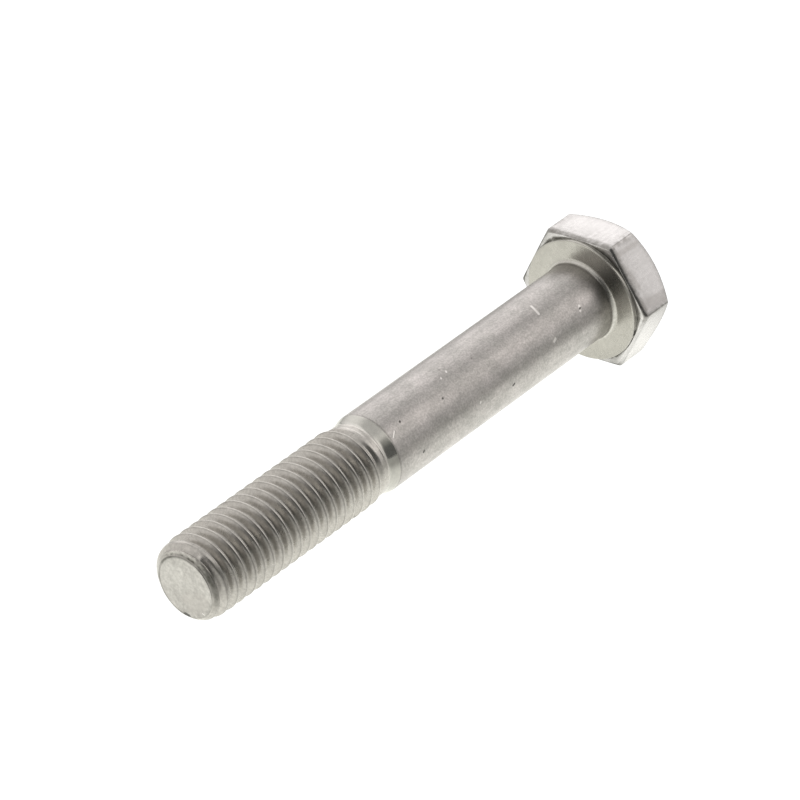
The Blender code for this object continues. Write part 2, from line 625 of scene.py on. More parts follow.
@dataclass(frozen=True)
class PlainShank:
    """The cone behind the neck, the plain shank and the fillet under the head."""

    point_x: float
    bearing_x: float

    radius: float = 4.925 * MM
    ring_spacing: float = 0.8 * MM

    neck_radius: float = 4.575 * MM
    neck_round: float = 0.05 * MM
    cone_end: float = 30.7 * MM
    cone_length: float = 1.3 * MM
    cone_lead: float = 0.02 * MM
    cone_step: float = 0.08 * MM
    cone_margin: float = 0.35 * MM
    cone_edge_round: float = 0.04 * MM
    cone_edge_dirt: float = 0.7
    cone_edge_dirt_width: float = 0.1 * MM

    fillet_radius: float = 0.55 * MM
    fillet_steps: int = 9
    fillet_lead: float = 0.35 * MM
    fillet_drawn_share: float = 0.3
    # Painted light across the fillet: a painted highlight band around its middle and painted shade at
    # its shank side.
    fillet_highlight_middle: float = 0.5
    fillet_highlight_spread: float = 0.22
    fillet_painted_shade: float = 0.6
    fillet_shade_spread: float = 0.25

    def _cone_radius(self, from_end: float) -> float:
        """The outline of the neck, the cone and the start of the shank.

        Args:
            from_end: The distance from the end face.

        Returns:
            The radius there.
        """
        share = (from_end - self.cone_end) / self.cone_length + 1.0
        cone = self.neck_radius + (self.radius - self.neck_radius) * share
        rising = soft_max(cone, self.neck_radius, self.neck_round)
        return float(soft_min(rising, self.radius, self.cone_edge_round))

    def _add_cone(self, skin: Skin) -> None:
        """Add the cone and the first of the plain shank behind its edge.

        Args:
            skin: The skin to add to.
        """
        place = self.cone_end - self.cone_length - self.cone_lead
        while place < self.cone_end + self.cone_margin:
            zone = Zone.NECK if place < self.cone_end else Zone.SHANK
            edge = bell(place - self.cone_end - self.cone_step, self.cone_edge_dirt_width)
            darkening = self.cone_edge_dirt * edge
            skin.ring(self.point_x - place, self._cone_radius(place), zone, hollow=darkening)
            place += self.cone_step

    def _add_fillet(self, skin: Skin) -> None:
        """Add the fillet between the shank and the bearing face.

        Args:
            skin: The skin to add to.
        """
        for step in range(self.fillet_steps + 1):
            turn = quarter_turn(step, self.fillet_steps)
            x = self.bearing_x + self.fillet_radius * (1.0 - math.sin(turn))
            radius = self.radius + self.fillet_radius * (1.0 - math.cos(turn))
            share = step / self.fillet_steps
            zone = Zone.SHANK if share < self.fillet_drawn_share else Zone.BEARING
            # Painted highlight around the fillet's middle, painted shade at its shank side.
            painted_highlight = bell(share - self.fillet_highlight_middle, self.fillet_highlight_spread)
            darkening = self.fillet_painted_shade * bell(share, self.fillet_shade_spread)
            skin.ring(x, radius, zone, wear=painted_highlight, hollow=darkening)

    def add_to(self, skin: Skin) -> None:
        """Add the cone, the shank and the fillet.

        Args:
            skin: The skin to add to, which ends at the neck.
        """
        self._add_cone(skin)
        start = self.point_x - self.cone_end - self.cone_margin
        end = self.bearing_x + self.fillet_radius
        count = round((start - end) / self.ring_spacing)
        for step in range(1, count):
            skin.ring(start + (end - start) * step / count, self.radius, Zone.SHANK)
        skin.ring(end + self.fillet_lead, self.radius, Zone.SHANK)
        self._add_fillet(skin)


@dataclass(frozen=True)
class ForgedHead:
    """The washer face, the hexagon and its chamfered top."""

    bearing_x: float
    across_flats: float

    washer_start: float = 5.5 * MM
    washer_radius: float = 7.75 * MM
    washer_height: float = 0.5 * MM
    washer_rings: tuple[float, ...] = (0.15, 0.4, 0.7, 0.93, 1.0)
    washer_edge_round: float = 0.1 * MM
    washer_edge_steps: int = 4
    washer_edge_wear: float = 0.2
    foot_height: float = 0.12 * MM
    # Painted shade in the step from the washer face down to the hexagon: a darker foot and a dark
    # line in the groove, weaker around 180 degrees.
    foot_shade: float = 0.35
    groove_depth: float = 0.03 * MM
    groove_painted_shade: float = 0.7
    unshaded_groove: Stretch = Stretch(180.0, 35.0)

    corner_round: float = 0.35 * MM
    # On the flats the wear colour is dark, so these wear values lay painted shade along the rounded
    # corners, the rolled lower edge and the flats' edges.
    corner_shade_power: int = 4
    underside_gap: float = 0.04 * MM
    underside_gap_share: float = 0.8
    # Painted shade in the corner where the underside meets the washer; on the dirty side the same
    # value lays grime on the rim.
    underside_dirt_and_shade: float = 0.45
    rollover_mid: float = 0.2 * MM
    rollover_corner: float = 0.5 * MM
    rollover_depth: float = 0.43 * MM
    rollover_steps: int = 6
    # Painted shade on the rolled lower edge and the flats' bottom, strongest from 0 to 120 degrees.
    rollover_shade: float = 0.1
    rollover_side_shade: float = 0.75
    rollover_dirt: float = 0.132
    burr_steps: int = 2
    burr_dirt: float = 0.33
    rim_side_shade: float = 0.3
    edge_side_shade: float = 0.35
    shaded_side: Sector = Sector(60.0, 60.0, 75.0)
    dirty_side: Sector = Sector(210.0, 80.0, 100.0)
    flat_stations: int = 8

    top_radius: float = 7.0 * MM
    top_rings: tuple[float, ...] = (0.9, 0.85, 0.6, 0.35, 0.12)
    top_edge_outset: float = 0.075 * MM
    top_edge_inset: float = 0.015 * MM
    top_edge_drop: float = 0.012 * MM
    top_edge_wear: float = 0.8
    chamfer_angle: float = 36.0
    chamfer_stations: int = 5
    chamfer_wear: float = 0.2
    chamfer_start: float = 0.096 * MM
    arc_approach: float = 0.12 * MM
    # Painted shade along the flats' top edge, where they meet the chamfer.
    arc_approach_shade: float = 0.4
    arc_break: float = 0.0084 * MM

    @property
    def underside(self) -> float:
        """Where the hexagon's underside stands along the axis."""
        return self.bearing_x - self.washer_height

    def _outline(self, angles: np.ndarray) -> np.ndarray:
        """The hexagon's radius, with its corners rounded.

        Args:
            angles: The columns' angles.

        Returns:
            The radius at each column.
        """
        half_flats = self.across_flats / 2.0
        gap = np.abs(np.radians(angle_gap(angles * HEAD_SIDES, 0.0) / HEAD_SIDES))
        flat = half_flats / np.cos(HALF_SIDE - gap)
        centre = (half_flats - self.corner_round) / math.cos(HALF_SIDE)
        inside = self.corner_round**2 - (centre * np.sin(gap)) ** 2
        arc = centre * np.cos(gap) + np.sqrt(np.maximum(inside, 0.0))
        arc_end = math.atan2(
            self.corner_round * math.sin(HALF_SIDE),
            centre + self.corner_round * math.cos(HALF_SIDE),
        )
        return np.where(gap < arc_end, arc, flat)

    def _cornerness(self, radius: np.ndarray) -> np.ndarray:
        """How near each column is to a corner, from 0 at mid-flat to 1."""
        half_flats = self.across_flats / 2.0
        return (radius - half_flats) / (half_flats / math.cos(HALF_SIDE) - half_flats)

    def _chamfer_x(self, radius: np.ndarray) -> np.ndarray:
        """Where the top chamfer stands along the axis at a radius."""
        return (radius - self.top_radius) * math.tan(math.radians(self.chamfer_angle))

    def _add_washer(self, skin: Skin) -> None:
        """Add the bearing face, its rounded edge and the step down to the hexagon.

        Args:
            skin: The skin to add to.
        """
        inner = self.washer_radius - self.washer_edge_round
        for share in self.washer_rings:
            radius = self.washer_start + (inner - self.washer_start) * share
            skin.ring(self.bearing_x, radius, Zone.BEARING)
        for step in range(1, self.washer_edge_steps + 1):
            turn = quarter_turn(step, self.washer_edge_steps)
            x = self.bearing_x - self.washer_edge_round * (1.0 - math.cos(turn))
            radius = inner + self.washer_edge_round * math.sin(turn)
            skin.ring(x, radius, Zone.BEARING, wear=self.washer_edge_wear)
        # Painted shade at the washer's foot and in the groove below it, weaker around 180 degrees.
        held = 1.0 - self.unshaded_groove.at(skin.columns.even)
        for height, darkening in (
            (self.foot_height, self.foot_shade),
            (-self.groove_depth, self.groove_painted_shade),
        ):
            x = self.underside + height
            skin.ring(x, self.washer_radius, Zone.BEARING, hollow=darkening * held)

    def _add_lower_edge(self, skin: Skin) -> None:
        """Add the underside around the washer face and the hexagon's rolled-over lower edge.

        Args:
            skin: The skin to add to.
        """
        angles = skin.columns.crowded
        outline = self._outline(angles)
        share = self._cornerness(outline) ** 2
        rollover = self.rollover_mid + (self.rollover_corner - self.rollover_mid) * share
        rim = outline - rollover
        gap = np.minimum(self.underside_gap, self.underside_gap_share * (rim - self.washer_radius))
        foot = self.washer_radius + gap
        # Painted shade in the corner where the underside meets the washer.
        skin.ring(self.underside, foot, Zone.BEARING, angles=angles, hollow=self.underside_dirt_and_shade)
        # Painted shade: the rim and the rolled-over edge take the flats' dark wear colour, strongest
        # from 0 to 120 degrees.
        shaded, darkened = self.shaded_side.at(angles), self.dirty_side.at(angles)
        wear, darkening = self.rim_side_shade * shaded, self.underside_dirt_and_shade * darkened
        skin.ring(self.underside, rim, Zone.FLATS, angles=angles, wear=wear, hollow=darkening)
        wear = self.rollover_shade + self.rollover_side_shade * shaded
        for step in range(1, self.rollover_steps + 1):
            turn = quarter_turn(step, self.rollover_steps)
            x = self.underside - self.rollover_depth * (1.0 - math.cos(turn))
            radius = rim + rollover * math.sin(turn)
            on_burr = step > self.rollover_steps - self.burr_steps
            darkening = np.maximum(self.burr_dirt if on_burr else self.rollover_dirt, darkened)
            skin.ring(x, radius, Zone.FLATS, angles=angles, wear=wear, hollow=darkening)

    def _add_flats(self, skin: Skin) -> None:
        """Add the six flats, from the lower edge up to the chamfer's arcs.

        Args:
            skin: The skin to add to.
        """
        angles = skin.columns.crowded
        outline = self._outline(angles)
        # Painted shade along the rounded corners and, from 0 to 120 degrees, just above the lower
        # edge.
        corners = self._cornerness(outline) ** self.corner_shade_power
        shaded = self.edge_side_shade * self.shaded_side.at(angles)
        low = self.underside - self.rollover_depth
        high = self._chamfer_x(outline) + self.arc_approach
        for step in range(1, self.flat_stations):
            x = low + (high - low) * step / self.flat_stations
            near_edge = max(0.0, 1.0 - 2.0 * (step - 1) / self.flat_stations)
            wear = np.maximum(corners, near_edge * shaded)
            skin.ring(x, outline, Zone.FLATS, angles=angles, wear=wear)
        # Painted shade along the flats' top edge; beyond the arc the same value lightens the chamfer
        # with the top's wear colour.
        skin.ring(high, outline, Zone.FLATS, angles=angles, wear=self.arc_approach_shade)
        arc_x = self._chamfer_x(outline) + self.arc_break
        skin.ring(arc_x, outline - self.arc_break, Zone.FLATS, angles=angles, wear=1.0)

    def _add_top(self, skin: Skin) -> None:
        """Add the chamfer and the top face.

        Args:
            skin: The skin to add to.
        """
        angles = skin.columns.crowded
        start = self._outline(angles) - self.chamfer_start
        end = self.top_radius + self.top_edge_outset
        for step in range(self.chamfer_stations + 1):
            radius = start + (end - start) * step / self.chamfer_stations
            x = self._chamfer_x(radius)
            skin.ring(x, radius, Zone.TOP, angles=angles, wear=self.chamfer_wear)
        edge = self.top_radius - self.top_edge_inset
        skin.ring(self.top_edge_drop, edge, Zone.TOP, angles=angles, wear=self.top_edge_wear)
        for share in self.top_rings:
            skin.ring(0.0, self.top_radius * share, Zone.TOP, angles=angles)

    def add_to(self, skin: Skin) -> None:
        """Add the whole head.

        Args:
            skin: The skin to add to, which ends at the fillet.
        """
        self._add_washer(skin)
        self._add_lower_edge(skin)
        self._add_flats(skin)
        self._add_top(skin)


# Shader nodes


class NodeSheet:
    """A node tree with short ways to add and join its nodes."""

    def __init__(self, tree: bpy.types.NodeTree) -> None:
        """Work on the given tree."""
        self.tree = tree

    def add(self, kind: str, **settings: object) -> bpy.types.Node:
        """Add a node.

        Args:
            kind: The node's type name.
            settings: Properties to set on the node.

        Returns:
            The new node.
        """
        node = self.tree.nodes.new(kind)
        for title, value in settings.items():
            setattr(node, title, value)
        return node

    def feed(self, target: Socket, value: Value | Vector | Colour) -> None:
        """Give a socket a value, or link another socket to it.

        Args:
            target: The socket to feed.
            value: Its value, or the socket that feeds it.
        """
        if isinstance(value, bpy.types.NodeSocket):
            self.tree.links.new(value, target)
        else:
            target.default_value = value

    def feed_all(self, node: bpy.types.Node, **values: object) -> None:
        """Feed several inputs of one node, by name with underscores for spaces."""
        for title, value in values.items():
            self.feed(node.inputs[title.replace("_", " ")], value)

    def maths(self, operation: str, *values: Value, clamp: bool = False) -> Socket:
        """Combine numbers.

        Args:
            operation: The Math node's operation.
            values: The operands.
            clamp: Whether to keep the result between 0 and 1.

        Returns:
            The result's socket.
        """
        node = self.add("ShaderNodeMath", operation=operation, use_clamp=clamp)
        for target, value in zip(node.inputs, values):
            self.feed(target, value)
        return node.outputs["Value"]

    def vector_maths(self, operation: str, *values: object, scale: Value = 1.0) -> Socket:
        """Combine vectors.

        Args:
            operation: The Vector Math node's operation.
            values: The operands.
            scale: The factor, for SCALE.

        Returns:
            The result's socket, a number for DOT_PRODUCT and DISTANCE and a vector otherwise.
        """
        node = self.add("ShaderNodeVectorMath", operation=operation)
        for target, value in zip(node.inputs, values):
            self.feed(target, value)
        if operation == "SCALE":
            self.feed(node.inputs["Scale"], scale)
        return node.outputs["Value" if operation in ("DOT_PRODUCT", "DISTANCE") else "Vector"]

    def step(self, value: Value, low: Value, high: Value, start: float, end: float) -> Socket:
        """Ease a number from start to end.

        Args:
            value: The number to read.
            low: The value at which the result is start.
            high: The value at which the result is end.
            start: The result at and below low.
            end: The result at and above high.

        Returns:
            The result's socket.
        """
        node = self.add("ShaderNodeMapRange", interpolation_type="SMOOTHSTEP")
        self.feed_all(node, Value=value, From_Min=low, From_Max=high, To_Min=start, To_Max=end)
        return node.outputs["Result"]

    def blend(
        self, share: Value, first: Socket | Colour, second: Socket | Colour, kind: str = "MIX"
    ) -> Socket:
        """Blend two colours.

        Args:
            share: How much of the second colour to use, from 0 to 1.
            first: The colour underneath.
            second: The colour on top.
            kind: The way in which they blend.

        Returns:
            The blended colour's socket.
        """
        node = self.add("ShaderNodeMix", data_type="RGBA", blend_type=kind)
        self.feed(node.inputs["Factor"], share)
        for target, value in zip((node.inputs[6], node.inputs[7]), (first, second)):
            self.feed(target, (*value, 1.0) if isinstance(value, tuple) else value)
        return node.outputs[2]

    def noise(self, place: Socket, scale: Value, detail: Value, roughness: Value) -> Socket:
        """Soft noise.

        Args:
            place: Where to read it.
            scale: How many features fit in a metre.
            detail: How many finer layers it has.
            roughness: How strong those finer layers are.

        Returns:
            The noise's value, around a half.
        """
        node = self.add("ShaderNodeTexNoise", noise_dimensions="3D")
        self.feed_all(node, Vector=place, Scale=scale, Detail=detail, Roughness=roughness)
        return node.outputs["Fac"]

    def attribute(self, title: str) -> Socket:
        """The value of one of the mesh's own attributes."""
        return self.add("ShaderNodeAttribute", attribute_name=title).outputs["Fac"]

    @property
    def object_place(self) -> Socket:
        """The place on the piece, in metres."""
        return self.add("ShaderNodeTexCoord").outputs["Object"]


class Effect:
    """A shader node group with named inputs and a mask, built once and used in many finishes."""

    def __init__(self, title: str, inputs: dict[str, object]) -> None:
        """Make the empty group.

        Args:
            title: The group's name.
            inputs: Each input's name with its default, a number or a vector.
        """
        self.tree = bpy.data.node_groups.new(title, "ShaderNodeTree")
        self.sheet = NodeSheet(self.tree)
        for name, default in inputs.items():
            kind = "NodeSocketVector" if isinstance(default, tuple) else "NodeSocketFloat"
            socket = self.tree.interface.new_socket(name, in_out="INPUT", socket_type=kind)
            socket.default_value = default
        self.tree.interface.new_socket("Mask", in_out="OUTPUT", socket_type="NodeSocketFloat")
        self.given = self.sheet.add("NodeGroupInput").outputs
        self.result = self.sheet.add("NodeGroupOutput").inputs["Mask"]

    def finish(self, mask: Socket) -> "Effect":
        """Give the group its result."""
        self.sheet.feed(self.result, mask)
        return self

    def place(self, sheet: NodeSheet, **values: object) -> Socket:
        """Put the group into a material.

        Args:
            sheet: The material's nodes.
            values: The inputs' values, by name.

        Returns:
            The group's mask.
        """
        node = sheet.add("ShaderNodeGroup", node_tree=self.tree)
        sheet.feed_all(node, **values)
        return node.outputs["Mask"]


class SharedEffects:
    """The effects that the finishes share."""

    def __init__(self) -> None:
        """Build every group once."""
        self.grain = self._grain()
        self.mottling = self._mottling()
        self.pits = self._pits()
        # These wear patches also lay painted highlights on the fillet and crests and painted shade
        # along the hexagon's edges.
        self.edge_wear = self._patches("edge_wear", WEAR_AND_LIGHT_ATTRIBUTE, 1500.0, 3.0, (0.32, 0.6), 0.35)
        # These grime patches also lay painted shade in the washer's step, under the fillet and beside
        # the thread's crests.
        self.grime = self._patches("grime", HOLLOW_ATTRIBUTE, 500.0, 4.0, (0.35, 0.65), 0.45)
        self.mark = self._mark()

    @staticmethod
    def _grain() -> Effect:
        """Noise drawn out along the axis, as left by drawing, rolling and trimming dies.

        Returns:
            The group.
        """
        inputs = {"Along": 400.0, "Across": 4000.0, "Detail": 4.0, "Roughness": 0.6}
        effect = Effect("die_grain", inputs)
        sheet, given = effect.sheet, effect.given
        scale = sheet.add("ShaderNodeCombineXYZ")
        sheet.feed_all(scale, X=given["Along"], Y=given["Across"], Z=given["Across"])
        place = sheet.vector_maths("MULTIPLY", sheet.object_place, scale.outputs["Vector"])
        return effect.finish(sheet.noise(place, 1.0, given["Detail"], given["Roughness"]))

    @staticmethod
    def _mottling() -> Effect:
        """Soft blotches of two sizes, around a half.

        Returns:
            The group.
        """
        fine_ratio, fine_share = 4.3, 0.35
        effect = Effect("mottling", {"Scale": 300.0, "Contrast": 2.0})
        sheet, given = effect.sheet, effect.given
        coarse = sheet.noise(sheet.object_place, given["Scale"], 3.0, 0.55)
        fine_scale = sheet.maths("MULTIPLY", given["Scale"], fine_ratio)
        fine = sheet.noise(sheet.object_place, fine_scale, 2.0, 0.5)
        both = sheet.maths("MULTIPLY_ADD", fine, fine_share, coarse)
        centred = sheet.maths("SUBTRACT", both, 0.5 * (1.0 + fine_share))
        return effect.finish(
            sheet.maths("MULTIPLY_ADD", centred, given["Contrast"], 0.5, clamp=True)
        )

    @staticmethod
    def _pits() -> Effect:
        """Small scattered pits, each with a size of its own.

        Returns:
            The group.
        """
        effect = Effect("pits", {"Scale": 900.0, "Size": 0.2, "Share": 0.2})
        sheet, given = effect.sheet, effect.given
        cells = sheet.add("ShaderNodeTexVoronoi", feature="F1")
        sheet.feed_all(cells, Vector=sheet.object_place, Scale=given["Scale"], Randomness=1.0)
        chance = sheet.add("ShaderNodeSeparateColor")
        sheet.feed_all(chance, Color=cells.outputs["Color"])
        chosen = sheet.maths("LESS_THAN", chance.outputs["Red"], given["Share"])
        size = sheet.maths("MULTIPLY", given["Size"], chance.outputs["Green"])
        inside = sheet.step(cells.outputs["Distance"], 0.0, size, 1.0, 0.0)
        return effect.finish(sheet.maths("MULTIPLY", inside, chosen))

    @staticmethod
    def _patches(
        title: str,
        attribute: str,
        scale: float,
        detail: float,
        limits: tuple[float, float],
        least: float,
    ) -> Effect:
        """One of the mesh's own attributes, shown in broken stretches.

        Args:
            title: The group's name.
            attribute: The attribute.
            scale: How many stretches fit in a metre.
            detail: How many finer layers their edges have.
            limits: The noise values between which the attribute comes up.
            least: How much of it shows between the stretches.

        Returns:
            The group.
        """
        effect = Effect(title, {"Amount": 1.0, "Scale": scale})
        sheet, given = effect.sheet, effect.given
        noise = sheet.noise(sheet.object_place, given["Scale"], detail, 0.6)
        shown = sheet.step(noise, *limits, least, 1.0)
        held = sheet.maths("MULTIPLY", sheet.attribute(attribute), shown)
        return effect.finish(sheet.maths("MULTIPLY", held, given["Amount"]))

    @staticmethod
    def _mark() -> Effect:
        """One scratch, dent or dot: a capsule from its start to its end.

        Returns:
            The group.
        """
        core_share, least_squared_length = 0.4, 1e-12
        origin = (0.0, 0.0, 0.0)
        effect = Effect("single_mark", {"Start": origin, "End": origin, "Width": 0.1 * MM})
        sheet, given = effect.sheet, effect.given
        offset = sheet.vector_maths("SUBTRACT", sheet.object_place, given["Start"])
        run = sheet.vector_maths("SUBTRACT", given["End"], given["Start"])
        reach = sheet.vector_maths("DOT_PRODUCT", offset, run)
        squared = sheet.vector_maths("DOT_PRODUCT", run, run)
        safe = sheet.maths("MAXIMUM", squared, least_squared_length)
        share = sheet.maths("DIVIDE", reach, safe, clamp=True)
        nearest = sheet.vector_maths("SCALE", run, scale=share)
        gap = sheet.vector_maths("DISTANCE", offset, nearest)
        core = sheet.maths("MULTIPLY", given["Width"], core_share)
        return effect.finish(sheet.step(gap, core, given["Width"], 1.0, 0.0))


# The finishes


class MarkKind(Enum):
    """What a mark does to the steel: its colour, how much of it shows, and its depth."""

    BRIGHT = ((0.85, 0.83, 0.80), 0.85, 0.02)
    DARK = ((0.07, 0.07, 0.065), 0.90, 0.02)
    SMUDGE = ((0.34, 0.32, 0.30), 0.36, 0.0)


@dataclass(frozen=True)
class Mark:
    """A scratch, dent or smudge; its ends are x, radius and angle, with lengths in millimetres."""

    kind: MarkKind
    start: tuple[float, float, float]
    end: tuple[float, float, float]
    width: float

    @classmethod
    def on_shank(
        cls, kind: MarkKind, x: float, angle: float, run: float, sweep: float, width: float
    ) -> "Mark":
        """A mark on the plain shank, with its run along the axis and its sweep around it."""
        radius = PlainShank.radius / MM
        return cls(kind, (x, radius, angle), (x + run, radius, angle + sweep), width)

    def mask(self, sheet: NodeSheet, effects: SharedEffects) -> Socket:
        """Where the mark shows.

        Args:
            sheet: The material's nodes.
            effects: The shared node groups.

        Returns:
            The mark's mask.
        """
        start, end = (
            around_axis(x * MM, radius * MM, angle) for x, radius, angle in (self.start, self.end)
        )
        return effects.mark.place(sheet, Start=start, End=end, Width=self.width * MM)


@dataclass(frozen=True)
class Mottle:
    """Soft blotches of the finish's dark colour."""

    scale: float
    contrast: float
    share: float


@dataclass(frozen=True)
class Grain:
    """Fine noise along and across the axis, as relief in millimetres and as a change of tone."""

    along: float
    across: float
    height: float
    tone: float
    detail: float = 4.0
    tone_limits: tuple[float, float] = (0.3, 0.7)

    @classmethod
    def speckle(cls, scale: float, height: float, tone: float) -> "Grain":
        """Grain that is the same in every direction."""
        return cls(scale, scale, height, tone, detail=3.0)

    def noise(self, sheet: NodeSheet, effects: SharedEffects) -> Socket:
        """The grain's own noise."""
        return effects.grain.place(sheet, Along=self.along, Across=self.across, Detail=self.detail)

    def shade(self, sheet: NodeSheet, noise: Socket) -> Socket:
        """The grain's change of tone, around 1."""
        return sheet.step(noise, *self.tone_limits, 1.0 - self.tone, 1.0 + self.tone)


@dataclass(frozen=True)
class Pitting:
    """How close together the pits' cells are, and the share of them that holds a pit."""

    scale: float
    share: float
    colour: Colour = (0.09, 0.085, 0.08)
    colour_share: float = 0.7
    depth: float = 0.03


@dataclass(frozen=True)
class Masks:
    """Where the effects of one finish show."""

    mottle: Socket
    grain: Socket
    speckle: Socket
    pits: Socket
    wear_and_light_mask: Socket
    darkened: Socket


@dataclass(frozen=True)
class SteelFinish:
    """One finish of the same steel; each scale counts how many features fit in a metre."""

    colour: Colour
    # Colour under the wear mask: rubbed metal and painted highlights; on the flats it is dark and
    # lays painted shade.
    dark_colour: Colour
    wear_and_light_colour: Colour
    roughness: float
    mottle: Mottle
    grain: Grain
    speckle: Grain
    pitting: Pitting
    wear: float
    grime: float
    marks: tuple[Mark, ...] = ()
    # Colour under the grime mask: dirt, and also painted shade in the washer's step, under the fillet
    # and beside the crests.
    grime_and_shade_colour: Colour = (0.085, 0.085, 0.07)
    mottle_roughness: float = 0.08
    wear_and_light_polish: float = 0.08
    grime_and_shade_roughness: float = 0.1

    def material(self, title: str, effects: SharedEffects) -> bpy.types.Material:
        """Make the finish's material.

        Args:
            title: The material's name.
            effects: The shared node groups.

        Returns:
            The finished material.
        """
        material = bpy.data.materials.new(title)
        material.use_nodes = True
        sheet = NodeSheet(material.node_tree)
        masks = self._masks(sheet, effects)
        colour, height = self._colour(sheet, masks), self._relief(sheet, masks)
        for mark in self.marks:
            tone, share, depth = mark.kind.value
            mask = mark.mask(sheet, effects)
            colour = sheet.blend(sheet.maths("MULTIPLY", mask, share), colour, tone)
            height = sheet.maths("MULTIPLY_ADD", mask, -depth, height)
        bump = sheet.add("ShaderNodeBump")
        sheet.feed_all(bump, Strength=1.0, Distance=MM, Height=height)
        steel = material.node_tree.nodes["Principled BSDF"]
        roughness = self._roughness(sheet, masks)
        sheet.feed_all(steel, Metallic=1.0, Base_Color=colour, Roughness=roughness)
        sheet.feed_all(steel, Normal=bump.outputs["Normal"])
        return material

    def _masks(self, sheet: NodeSheet, effects: SharedEffects) -> Masks:
        """Place the shared effects.

        Args:
            sheet: The material's nodes.
            effects: The shared node groups.

        Returns:
            Where each effect shows.
        """
        pits = self.pitting
        return Masks(
            mottle=effects.mottling.place(
                sheet, Scale=self.mottle.scale, Contrast=self.mottle.contrast
            ),
            grain=self.grain.noise(sheet, effects),
            speckle=self.speckle.noise(sheet, effects),
            pits=effects.pits.place(sheet, Scale=pits.scale, Share=pits.share),
            wear_and_light_mask=effects.edge_wear.place(sheet, Amount=self.wear),
            darkened=effects.grime.place(sheet, Amount=self.grime),
        )

    def _colour(self, sheet: NodeSheet, masks: Masks) -> Socket:
        """Lay the blotches, the grain, the rubbed edges with the painted highlights and painted shade
        that share their mask, the oil film with the painted shade that shares its mask, and the pits.

        Args:
            sheet: The material's nodes.
            masks: Where each effect shows.

        Returns:
            The colour without the single marks.
        """
        darkness = sheet.maths("MULTIPLY", masks.mottle, self.mottle.share)
        colour = sheet.blend(darkness, self.colour, self.dark_colour)
        streaks = self.grain.shade(sheet, masks.grain)
        tone = sheet.maths("MULTIPLY", streaks, self.speckle.shade(sheet, masks.speckle))
        shade = sheet.add("ShaderNodeCombineColor")
        sheet.feed_all(shade, Red=tone, Green=tone, Blue=tone)
        colour = sheet.blend(1.0, colour, shade.outputs["Color"], kind="MULTIPLY")
        # Wear colour: rubbed edges, painted highlights on the fillet and crests, and painted shade
        # along the hexagon's edges.
        colour = sheet.blend(masks.wear_and_light_mask, colour, self.wear_and_light_colour)
        # Grime colour: dirt, and also painted shade in recesses and beside the crests.
        colour = sheet.blend(masks.darkened, colour, self.grime_and_shade_colour)
        in_pits = sheet.maths("MULTIPLY", masks.pits, self.pitting.colour_share)
        return sheet.blend(in_pits, colour, self.pitting.colour)

    def _relief(self, sheet: NodeSheet, masks: Masks) -> Socket:
        """The height of the grain and the pits, in millimetres.

        Args:
            sheet: The material's nodes.
            masks: Where each effect shows.

        Returns:
            The height without the single marks.
        """
        height = sheet.maths("MULTIPLY", masks.grain, self.grain.height)
        height = sheet.maths("MULTIPLY_ADD", masks.speckle, self.speckle.height, height)
        return sheet.maths("MULTIPLY_ADD", masks.pits, -self.pitting.depth, height)

    def _roughness(self, sheet: NodeSheet, masks: Masks) -> Socket:
        """The roughness, a little higher in blotches and under the mask of dirt and painted shade,
        and lower under the mask of wear and painted light.

        Args:
            sheet: The material's nodes.
            masks: Where each effect shows.

        Returns:
            The roughness.
        """
        least = self.roughness - 0.5 * self.mottle_roughness
        rough = sheet.maths("MULTIPLY_ADD", masks.mottle, self.mottle_roughness, least)
        rough = sheet.maths("MULTIPLY_ADD", masks.wear_and_light_mask, -self.wear_and_light_polish, rough)
        return sheet.maths("MULTIPLY_ADD", masks.darkened, self.grime_and_shade_roughness, rough)


SHANK_MARKS = (
    Mark.on_shank(MarkKind.BRIGHT, 16.70, 76.0, 0.30, -16.0, 0.22),
    Mark.on_shank(MarkKind.BRIGHT, 17.00, 19.0, 0.35, -2.0, 0.24),
    Mark.on_shank(MarkKind.BRIGHT, 11.45, 37.0, 0.25, -6.0, 0.26),
    Mark.on_shank(MarkKind.DARK, 11.50, 33.8, 0.10, -0.8, 0.15),
    Mark.on_shank(MarkKind.DARK, 25.20, -0.3, 0.30, -1.2, 0.18),
    Mark.on_shank(MarkKind.DARK, 36.10, 43.2, 0.05, -0.6, 0.14),
    Mark.on_shank(MarkKind.DARK, 43.00, 51.6, 0.08, -0.8, 0.17),
    Mark.on_shank(MarkKind.DARK, 41.60, -2.4, 0.10, -1.0, 0.20),
    Mark.on_shank(MarkKind.BRIGHT, 32.90, 71.0, 0.10, -1.5, 0.16),
    Mark.on_shank(MarkKind.BRIGHT, 34.20, 67.0, 0.10, -1.0, 0.14),
    Mark.on_shank(MarkKind.BRIGHT, 31.20, 8.0, 0.12, -1.0, 0.15),
    Mark.on_shank(MarkKind.BRIGHT, 44.50, 45.6, 0.70, -6.5, 0.12),
)

POINT_MARKS = (
    Mark(MarkKind.SMUDGE, (76.4, 3.1, 285.0), (76.4, 2.6, 335.0), 1.3),
    Mark(MarkKind.SMUDGE, (76.4, 1.9, 262.0), (76.4, 1.4, 300.0), 0.8),
    Mark(MarkKind.DARK, (76.38, 3.9, 263.0), (76.38, 3.95, 270.0), 0.36),
    Mark(MarkKind.DARK, (76.38, 3.58, 116.0), (76.38, 3.62, 120.0), 0.16),
    Mark(MarkKind.BRIGHT, (76.38, 3.9, 309.0), (76.38, 3.6, 306.0), 0.08),
)

BEARING_MARKS = (
    Mark(MarkKind.DARK, (5.95, 7.75, 343.0), (5.95, 7.75, 339.0), 0.24),
    Mark(MarkKind.DARK, (5.95, 7.75, 334.0), (5.95, 7.75, 322.0), 0.18),
)

